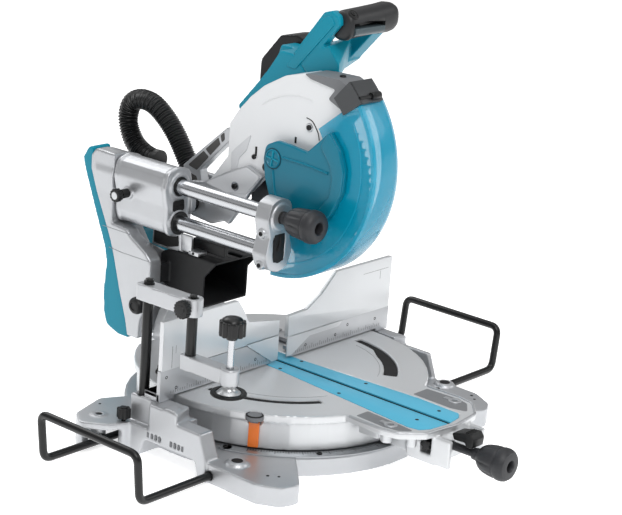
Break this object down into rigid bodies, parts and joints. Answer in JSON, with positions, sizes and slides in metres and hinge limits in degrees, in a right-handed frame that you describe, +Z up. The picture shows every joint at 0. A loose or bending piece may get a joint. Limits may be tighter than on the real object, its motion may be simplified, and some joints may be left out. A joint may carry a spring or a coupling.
{
  "type": "sliding compound mitre saw",
  "caption": "Bench saw whose circular blade swings down, slides forward on two pipes, tilts for bevels and turns with its round table, with a sliding fence, clamp and wire work supports.",
  "frame": {"origin": "centre of the footprint on the bench, at the bottom of the base", "axes": "+X to the operator's right, +Y away from the operator, +Z up; the blade's plane is x = 0"},
  "size_m": [0.8862, 0.8463, 0.6662],
  "materials": {
    "cast": "satin cast and painted silver",
    "bright": "polished",
    "steel": "machined",
    "dark_steel": "black",
    "teal": "satin",
    "case": "gloss off-white",
    "arm_grey": "satin",
    "black": "matte",
    "grip": "soft matte",
    "soft_black": "matte",
    "guard": "clear tinted",
    "board": "matte light blue",
    "orange": "satin",
    "copper": "wound"
  },
  "bodies": {
    "base": {"base_casting": "cast", "mitre_scale_plate": "steel", "table_centre_bolt": "steel", "guide_fence": "cast"},
    "support_left": {"work_support_left": "dark_steel"},
    "support_right": {"work_support_right": "dark_steel"},
    "support_lock_left": {"support_lock_screw_left": "black"},
    "support_lock_right": {"support_lock_screw_right": "black"},
    "fence_left": {"sub_fence_left": "cast"},
    "fence_right": {"sub_fence_right": "cast"},
    "fence_lock_left": {"fence_lock_screw_left": "black"},
    "fence_lock_right": {"fence_lock_screw_right": "black"},
    "turntable": {"turntable_casting": "cast", "kerf_board_left": "board", "kerf_board_right": "board", "mitre_stop_tab": "orange", "bevel_pivot_shaft": "steel", "mitre_pointer": "black"},
    "mitre_grip_body": {"mitre_grip": "grip"},
    "mitre_lever": {"mitre_release_lever": "black"},
    "mitre_stop": {"mitre_stop_knob": "black"},
    "bevel": {"bevel_arm": "cast", "arm_rear_cover": "teal", "upper_slide_pipe": "bright", "lower_slide_pipe": "bright", "pipe_end_clamp": "cast", "dust_chute": "soft_black"},
    "bevel_lock": {"bevel_lock_knob": "grip"},
    "bevel_stop": {"bevel_stop_knob": "black"},
    "carriage": {"carriage_housing": "cast", "upper_pipe_bush": "black", "lower_pipe_bush": "black", "head_pivot_shaft": "steel", "head_return_spring": "dark_steel", "head_stop_bracket": "steel", "dust_hose": "soft_black"},
    "slide_lock": {"slide_lock_screw": "black"},
    "head": {"head_arm": "arm_grey", "blade_case": "case", "motor_housing": "teal", "motor_end_cap": "black", "handle_frame": "teal", "handle_grip": "grip"},
    "trigger_body": {"trigger": "grip"},
    "lock_off": {"lock_off_button": "black"},
    "armature": {"motor_armature": "copper"},
    "spindle": {"saw_blade": "steel", "arbor_shaft": "steel", "outer_flange": "steel", "arbor_bolt": "dark_steel"},
    "guard": {"lower_guard": "guard", "centre_cover": "teal", "guard_front_bracket": "arm_grey"},
    "vise": {"vise_post": "dark_steel", "vise_upper_arm": "cast"},
    "vise_lock": {"vise_lock_knob": "black"},
    "vise_arm": {"vise_drop_rod": "dark_steel", "vise_lower_arm": "cast"},
    "vise_foot_body": {"vise_foot": "black"},
    "vise_screw_body": {"vise_screw": "black"}
  },
  "joints": [
    {"name": "mitre_turn", "type": "hinge", "parent": "base", "child": "turntable", "pos_m": [0, 0.029, 0.091], "axis": [0, 0, 1], "range_deg": [-52, 45]},
    {"name": "bevel_tilt", "type": "hinge", "parent": "turntable", "child": "bevel", "pos_m": [0, 0.269, 0.091], "axis": [0, 1, 0], "range_deg": [-27, 26]},
    {"name": "carriage_slide", "type": "slide", "parent": "bevel", "child": "carriage", "axis": [0, -1, 0], "range_m": [0, 0.16]},
    {"name": "head_swing", "type": "hinge", "parent": "carriage", "child": "head", "pos_m": [0, 0.214, 0.323], "axis": [1, 0, 0], "range_deg": [0, 52], "stiffness_Nm_per_rad": 10, "springref_deg": -108.86, "deforming": ["dust_hose"]},
    {"name": "guard_lift", "type": "hinge", "parent": "head", "child": "guard", "pos_m": [0, 0.036, 0.431], "axis": [-1, 0, 0], "range_deg": [0, 96.5]},
    {"name": "blade_spin", "type": "hinge", "parent": "head", "child": "spindle", "pos_m": [0, 0.005, 0.404], "axis": [1, 0, 0], "continuous": true},
    {"name": "armature_spin", "type": "hinge", "parent": "head", "child": "armature", "pos_m": [0.06, 0.117, 0.539], "axis": [1, 0, 0], "continuous": true},
    {"name": "trigger_pull", "type": "hinge", "parent": "head", "child": "trigger_body", "pos_m": [0.083, -0.016, 0.632], "axis": [-1, 0, 0], "range_deg": [0, 8], "stiffness_Nm_per_rad": 0.6, "springref_deg": -11.46},
    {"name": "lock_off_press", "type": "slide", "parent": "head", "child": "lock_off", "axis": [0, 0.6, -0.8], "range_m": [0, 0.004], "stiffness_N_per_m": 400, "springref_m": -0.004},
    {"name": "mitre_grip_turn", "type": "hinge", "parent": "turntable", "child": "mitre_grip_body", "pos_m": [0, -0.371, 0.058], "axis": [0, -1, 0], "range_deg": [0, 90]},
    {"name": "mitre_lever_press", "type": "hinge", "parent": "turntable", "child": "mitre_lever", "pos_m": [0, -0.333, 0.079], "axis": [1, 0, 0], "range_deg": [0, 4], "stiffness_Nm_per_rad": 2, "springref_deg": -8.59},
    {"name": "mitre_stop_turn", "type": "hinge", "parent": "turntable", "child": "mitre_stop", "pos_m": [-0.037, -0.299, 0.065], "axis": [-1, 0, 0], "range_deg": [0, 90]},
    {"name": "work_support_left_slide", "type": "slide", "parent": "base", "child": "support_left", "axis": [1, 0, 0], "range_m": [0, 0.075]},
    {"name": "work_support_right_slide", "type": "slide", "parent": "base", "child": "support_right", "axis": [-1, 0, 0], "range_m": [0, 0.075]},
    {"name": "support_lock_left_turn", "type": "hinge", "parent": "base", "child": "support_lock_left", "pos_m": [-0.291, 0.089, 0.06], "axis": [0, 0, 1], "range_deg": [0, 180]},
    {"name": "sub_fence_left_slide", "type": "slide", "parent": "base", "child": "fence_left", "axis": [-1, 0, 0], "range_m": [0, 0.06]},
    {"name": "fence_lock_left_turn", "type": "hinge", "parent": "base", "child": "fence_lock_left", "pos_m": [-0.232, 0.066, 0.118], "axis": [0, 1, 0], "range_deg": [0, 180]},
    {"name": "support_lock_right_turn", "type": "hinge", "parent": "base", "child": "support_lock_right", "pos_m": [0.291, 0.089, 0.06], "axis": [0, 0, 1], "range_deg": [0, 180]},
    {"name": "sub_fence_right_slide", "type": "slide", "parent": "base", "child": "fence_right", "axis": [1, 0, 0], "range_m": [0, 0.06]},
    {"name": "fence_lock_right_turn", "type": "hinge", "parent": "base", "child": "fence_lock_right", "pos_m": [0.232, 0.066, 0.118], "axis": [0, 1, 0], "range_deg": [0, 180]},
    {"name": "bevel_lock_turn", "type": "hinge", "parent": "bevel", "child": "bevel_lock", "pos_m": [-0.08, -0.051, 0.356], "axis": [0, -1, 0], "range_deg": [0, 180]},
    {"name": "bevel_stop_turn", "type": "hinge", "parent": "bevel", "child": "bevel_stop", "pos_m": [-0.118, 0.241, 0.153], "axis": [-1, 0, 0], "range_deg": [0, 90]},
    {"name": "slide_lock_turn", "type": "hinge", "parent": "carriage", "child": "slide_lock", "pos_m": [-0.126, 0.287, 0.329], "axis": [-1, 0, 0], "range_deg": [0, 180]},
    {"name": "vise_swing", "type": "hinge", "parent": "base", "child": "vise", "pos_m": [-0.265, 0.074, 0.091], "axis": [0, 0, 1], "range_deg": [-25, 25]},
    {"name": "vise_lock_turn", "type": "hinge", "parent": "vise", "child": "vise_lock", "pos_m": [-0.284, -0.015, 0.25], "axis": [-1, 0, 0], "range_deg": [0, 180]},
    {"name": "vise_height", "type": "slide", "parent": "vise", "child": "vise_arm", "axis": [0, 0, 1], "range_m": [0, 0.05]},
    {"name": "vise_clamp", "type": "slide", "parent": "vise_arm", "child": "vise_foot_body", "axis": [0, 0, -1], "range_m": [0, 0.044]},
    {"name": "vise_screw_turn", "type": "hinge", "parent": "vise_foot_body", "child": "vise_screw_body", "pos_m": [-0.261, -0.094, 0.238], "axis": [0, 0, -1], "range_deg": [0, 3961]}
  ],
  "couplings": [
    {"joint": "guard_lift", "follows": "head_swing", "ratio": 1.8462},
    {"joint": "armature_spin", "follows": "blade_spin", "ratio": -6},
    {"joint": "vise_screw_turn", "follows": "vise_clamp", "rad_per_m": 1570.8}
  ]
}
